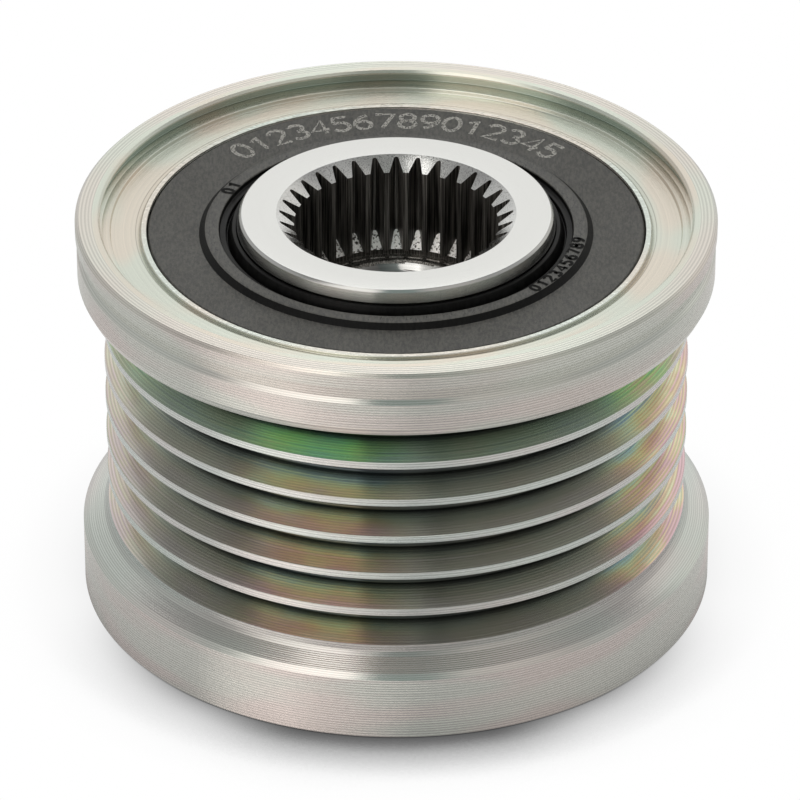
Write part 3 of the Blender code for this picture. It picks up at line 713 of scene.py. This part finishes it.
def build_hub(finishes):
    """The hub with its ground face, its toothed socket and its thread."""
    corners = section("inner_ring_hub", TOOTH_AZIMUTH)
    top = max(point.y for point in corners)
    edge, number = max((point.x, number) for number, point in enumerate(corners)
                       if point.y > top - FLARE_START)
    flare = [Vector((edge + FLARE, top - FLARE_WIDEST)), Vector((edge, top - FLARE_END))]
    corners[number + 1:number + 1] = flare
    outline = rounded(corners, lambda point: 0.05 if point.x > 12 else 0.02)
    fine = []
    for (start, normal), (end, _) in zip(outline, outline[1:] + outline[:1]):
        fine.append((start, normal))
        length = (end - start).length
        bore = length > 5 and start.x < 7.3
        lead_in = length > 0.4 and start.x < 7.8 and start.y > 24.0
        if bore or lead_in:
            steps = ceil(length / THREAD_STEP)
            fine += [(start.lerp(end, step / steps), normal) for step in range(1, steps)]
    mesh = spun("hub_ring", fine, HUB_SIDES, thread_cut)
    hub = placed("hub_with_socket", mesh, list(finishes.values()), "hub", "inner_ring_hub")
    cutter = gap_cutter(top + 1.0)
    boolean = hub.modifiers.new("Teeth", "BOOLEAN")
    boolean.operation = "DIFFERENCE"
    boolean.solver = "EXACT"
    boolean.object = cutter
    graph = bpy.context.evaluated_depsgraph_get()
    cut = bpy.data.meshes.new_from_object(hub.evaluated_get(graph))
    hub.modifiers.clear()
    hub.data = cut
    bpy.data.objects.remove(cutter)
    cut.name = "hub_with_socket"
    names = list(finishes)
    for face in cut.polygons:
        face.material_index = names.index(hub_finish(face, top))
    cut.shade_smooth()
    cut.set_sharp_from_angle(angle=radians(32.0))


def hub_finish(face, top):
    """Which of the hub's finishes a face has."""
    height = face.center.z / MM
    radius = hypot(face.center.x, face.center.y) / MM
    if face.normal.z > 0.98 and height > top - FACE_BAND:
        return "face"
    if radius > SIDE_RADIUS:
        return "side"
    if height > TOOTH_ENDS_BOTTOM and face.normal.z > 0.5:
        return "tooth_ends"
    if RUN_OUT_HEIGHTS[0] < height < RUN_OUT_HEIGHTS[1] and radius > RUN_OUT_RADIUS and face.normal.z > 0.35:
        return "run_out"
    if height < THREAD_TOP and radius < THREAD_OUTER_RADIUS:
        return "thread"
    return "tooth_walls"


def bow(middle_x, middle_y, reach_x, reach_y, start, end, steps=12):
    """Points along an elliptical arc, between two angles in degrees."""
    turns = [radians(start + (end - start) * step / steps) for step in range(steps + 1)]
    return [(middle_x + reach_x * cos(turn), middle_y + reach_y * sin(turn)) for turn in turns]


def digit_strokes():
    """The strokes of each digit in a box 0.6 wide and 1 high."""
    six = [bow(0.3, 0.29, 0.26, 0.29, 0, 360), bow(0.62, 0.32, 0.58, 0.66, 180, 106, 6)]
    nine = [[(0.6 - x, 1.0 - y) for x, y in stroke] for stroke in six]
    return {
        "0": [bow(0.3, 0.5, 0.27, 0.5, 0, 360)],
        "1": [[(0.1, 0.76), (0.34, 1.0), (0.34, 0.0)]],
        "2": [bow(0.3, 0.72, 0.26, 0.28, 165, -35, 9) + [(0.04, 0.0), (0.58, 0.0)]],
        "3": [bow(0.27, 0.76, 0.24, 0.24, 150, -90, 9), bow(0.27, 0.26, 0.28, 0.26, 90, -150, 9)],
        "4": [[(0.45, 0.0), (0.45, 1.0), (0.0, 0.28), (0.6, 0.28)]],
        "5": [[(0.54, 1.0), (0.12, 1.0), (0.08, 0.55)] + bow(0.28, 0.31, 0.28, 0.31, 125, -150, 9)],
        "6": six,
        "7": [[(0.02, 1.0), (0.58, 1.0), (0.2, 0.0)]],
        "8": [bow(0.3, 0.75, 0.22, 0.25, 0, 360), bow(0.3, 0.26, 0.27, 0.26, 0, 360)],
        "9": nine,
    }


def build_digits(name, text, material, height_at, *, middle, radius, size, wide, step, thickness, lift,
                 way=1):
    """A plain counting number in flat strokes round the seal, its tops outwards or, with -1, inwards."""
    strokes = digit_strokes()
    shape = bmesh.new()
    for place, digit in enumerate(text):
        turn = radians(middle) - way * (place - (len(text) - 1) / 2) * step / radius
        for stroke in strokes[digit]:
            points = [Vector((point[0] * wide, point[1])) * size for point in stroke]
            before = None
            for number, point in enumerate(points):
                ahead = points[min(number + 1, len(points) - 1)] - points[max(number - 1, 0)]
                side = Vector((-ahead.y, ahead.x)).normalized() * thickness / 2
                pair = []
                for corner in (point + side, point - side):
                    at = radius + way * (corner.y - size / 2)
                    angle = turn - way * (corner.x - 0.3 * wide * size) / radius
                    height = height_at(at) + lift
                    pair.append(shape.verts.new((at * cos(angle) * MM, at * sin(angle) * MM, height * MM)))
                if before:
                    shape.faces.new((before[0], before[1], pair[1], pair[0]))
                before = pair
    mesh = bpy.data.meshes.new(name)
    shape.to_mesh(mesh)
    shape.free()
    placed(name, mesh, material, "pulley")


def build_marks(etching, moulding):
    """The numbers on the front seal: pale etched ones on the wide ring and raised ones on the rib."""
    rib, dish, edge = section("front_seal")[6:9]

    def ring_height(radius):
        return dish.y + (edge.y - dish.y) * (radius - dish.x) / (edge.x - dish.x)

    def rib_height(_):
        return rib.y

    build_digits("etched_number", "0123456789012345", etching, ring_height, middle=90.0, radius=18.95,
                 size=2.1, wide=1.3, step=1.95, thickness=0.4, lift=0.004)
    build_digits("raised_number", "0123456789", moulding, rib_height, middle=-25.5, radius=15.5,
                 size=1.0, wide=1.1, step=1.0, thickness=0.28, lift=0.03, way=-1)
    build_digits("raised_mark", "01", moulding, rib_height, middle=155.0, radius=15.5,
                 size=1.05, wide=1.1, step=1.15, thickness=0.3, lift=0.03)


def build_seals(rubber, shaded_rubber):
    """Both seals, with rounded edges; the rib's outer slope and the lip are painted darker, as shade."""
    finishes = [rubber, shaded_rubber]
    for node in ("front_seal", "rear_seal"):
        mesh = spun(node + "_moulded", rounded(section(node), lambda point: SEAL_ROUNDING))
        seal = placed(node + "_moulded", mesh, finishes, "pulley", node)
        for face in mesh.polygons:
            radius = hypot(face.center.x, face.center.y) / MM
            if radius < RIB_INNER_RADIUS or RIB_OUTER_RADIUS < radius < RIB_FOOT_RADIUS:
                face.material_index = finishes.index(shaded_rubber)


def build_floor():
    """A white floor that keeps the object's soft shadow, strongest in front and faint at the sides."""
    bpy.ops.mesh.primitive_circle_add(vertices=96, radius=6.0, fill_type="NGON", location=(0, 0, -0.00002))
    floor = bpy.context.object
    floor.name = "floor"
    material, tree, shader = new_material("white_floor")
    fill(tree, shader, {"Base Color": (0.93, 0.93, 0.93, 1.0), "Roughness": 0.9, "Specular IOR Level": 0.1})
    open_sky = add(tree, "AmbientOcclusion", {"Distance": SHADOW_REACH * MM}, samples=16).outputs["AO"]
    x, y, *_ = around(tree)
    turn = math(tree, "ABSOLUTE", front_angle(tree, x, y))
    light = linear(tree, open_sky, *SHADOW_SKY, 0.14, 1.0)
    contact = product(tree, ramp(tree, turn, 38.0, 16.0), linear(tree, light, 0.92, 0.5, 0.0, 0.64))
    light = product(tree, light, math(tree, "SUBTRACT", 1.0, contact))
    fade = ramp(tree, turn, 35.0, 80.0, 1.0, 0.17)
    light = math(tree, "SUBTRACT", 1.0, product(tree, math(tree, "SUBTRACT", 1.0, light), fade))
    mirrored = linear(tree, open_sky, *SHADOW_SKY, *FLOOR_MIRRORED)
    path = add(tree, "LightPath").outputs
    above = product(tree, path["Is Camera Ray"], math(tree, "SUBTRACT", light, mirrored))
    tone = total(tree, above, mirrored)
    white = add(tree, "Emission", {"Color": (1, 1, 1, 1), "Strength": tone}).outputs[0]
    seen = math(tree, "MAXIMUM", path["Is Glossy Ray"], path["Is Transmission Ray"])
    seen = math(tree, "MAXIMUM", path["Is Camera Ray"], seen)
    both = add(tree, "MixShader", {0: seen, 1: shader.outputs[0], 2: white}).outputs[0]
    fill(tree, tree.nodes["Material Output"], {0: both})
    floor.data.materials.append(material)


def build_world():
    """A pale studio: bright behind, dim in front, with a lit panel front left beside a dark gap."""
    world = bpy.data.worlds.new("studio")
    bpy.context.scene.world = world
    world.use_nodes = True
    tree = world.node_tree
    tree.nodes.clear()
    x, y, z = add(tree, "SeparateXYZ", {0: add(tree, "TexCoord").outputs["Generated"]}).outputs
    azimuth = front_angle(tree, x, y)
    elevation = product(tree, math(tree, "ARCSINE", z), 180 / pi)
    bands = []
    for colours in (LOW_LIGHT, MIDDLE_LIGHT):
        level = add(tree, "RGB").outputs[0]
        level.default_value = (*colours[0], 1.0)
        for (edge, soft), colour in zip(LIGHT_EDGES, (*colours[1:], colours[0])):
            share = ramp(tree, azimuth, edge - soft / 2, edge + soft / 2)
            level = mixed(tree, share, level, (*colour, 1.0))
        bands.append(level)
    level = mixed(tree, ramp(tree, elevation, 38.0, 47.0), *bands)
    level = mixed(tree, ramp(tree, elevation, 64.0, 76.0), level, (*TOP_LIGHT, 1.0))
    aside = [math(tree, "POWER", math(tree, "SUBTRACT", value, middle), 2.0)
             for value, middle in zip((x, y), LAMP_PLACE)]
    away = math(tree, "SQRT", total(tree, *aside))
    lamp = product(tree, ramp(tree, away, *LAMP_REACH), ramp(tree, z, 0.6, 0.8))
    level = mixed(tree, lamp, level, (*LAMP_LIGHT, 1.0))
    lit = add(tree, "Background", {"Color": level, "Strength": 1.0}).outputs[0]
    white = add(tree, "Background", {"Color": (1, 1, 1, 1), "Strength": 1.0}).outputs[0]
    seen = add(tree, "LightPath").outputs["Is Camera Ray"]
    both = add(tree, "MixShader", {0: seen, 1: lit, 2: white}).outputs[0]
    add(tree, "OutputWorld", {0: both})


def build_camera():
    """The photograph's view: square on, from 31 degrees above, through a long lens."""
    camera = bpy.data.objects.new("camera", bpy.data.cameras.new("camera"))
    bpy.context.scene.collection.objects.link(camera)
    camera.data.lens = CAMERA_LENS
    camera.data.clip_start = 0.01
    back = Vector((0.0, -cos(CAMERA_ELEVATION), sin(CAMERA_ELEVATION)))
    camera.location = (Vector(CAMERA_TARGET) + back * CAMERA_DISTANCE) * MM
    camera.rotation_euler = (-back).to_track_quat("-Z", "Y").to_euler()
    bpy.context.scene.camera = camera


build_camera()
build_world()
build_floor()
bpy.context.scene.view_settings.view_transform = "Standard"

bright_zone = (0.0, (0.52, 0.52, 0.51), 0.0005, 0.001)
thread_zone = (0.0, (0.55, 0.55, 0.54), 0.01, 0.05)
hub_finishes = {
    "face": ground_metal("ground_steel", (0.76, 0.76, 0.745), 0.2),
    "side": turned_metal("turned_hub_steel", [bright_zone], rough=0.17, film=0.0, streaks=0.02),
    "tooth_walls": dark_broached("shade_darkened_tooth_walls"),
    "run_out": speckled_metal("tooth_run_out"),
    "tooth_ends": cut_steel("cut_tooth_faces", (0.72, 0.72, 0.71)),
    "thread": turned_metal("thread_steel", [thread_zone], rough=0.2, film=0.0, streaks=0.8),
}
zinc = turned_metal("zinc_plated_steel", PLATING, rough=0.22, film=0.05, streaks=0.17)
groove_zinc = groove_metal("zinc_plated_grooves", (0.59, 0.61, 0.575))
recess_zinc = recess_metal("zinc_plated_recess", (0.74, 0.715, 0.65), (0.45, 0.48, 0.43), (0.72, 0.71, 0.67))
rubber = seal_rubber("black_rubber", (0.041, 0.0395, 0.034), rough=0.46, specular=0.5)
# A darker, less glossy copy of the rubber: painted shade on the rib's outer slope and the lip
shaded_rubber = seal_rubber("shade_darkened_rubber_slopes", (0.003, 0.003, 0.003), rough=0.5, specular=0.15)
etching = broken_marks("etched_marks", (0.44, 0.43, 0.4), (0.02, 0.02, 0.018), specular=0.5)
moulding = broken_marks("raised_marks", (0.004, 0.004, 0.004), (0.0, 0.0, 0.0), specular=0.1)
bearing = plain_steel("bearing_steel", (0.6, 0.6, 0.59), 0.2)
nylon = cage_plastic("cage_plastic")

build_rim(zinc, groove_zinc, recess_zinc)
build_hub(hub_finishes)
build_seals(rubber, shaded_rubber)
build_marks(etching, moulding)
for name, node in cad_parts.items():
    node.data.materials.clear()
    node.data.materials.append(nylon if "cage" in name else bearing)
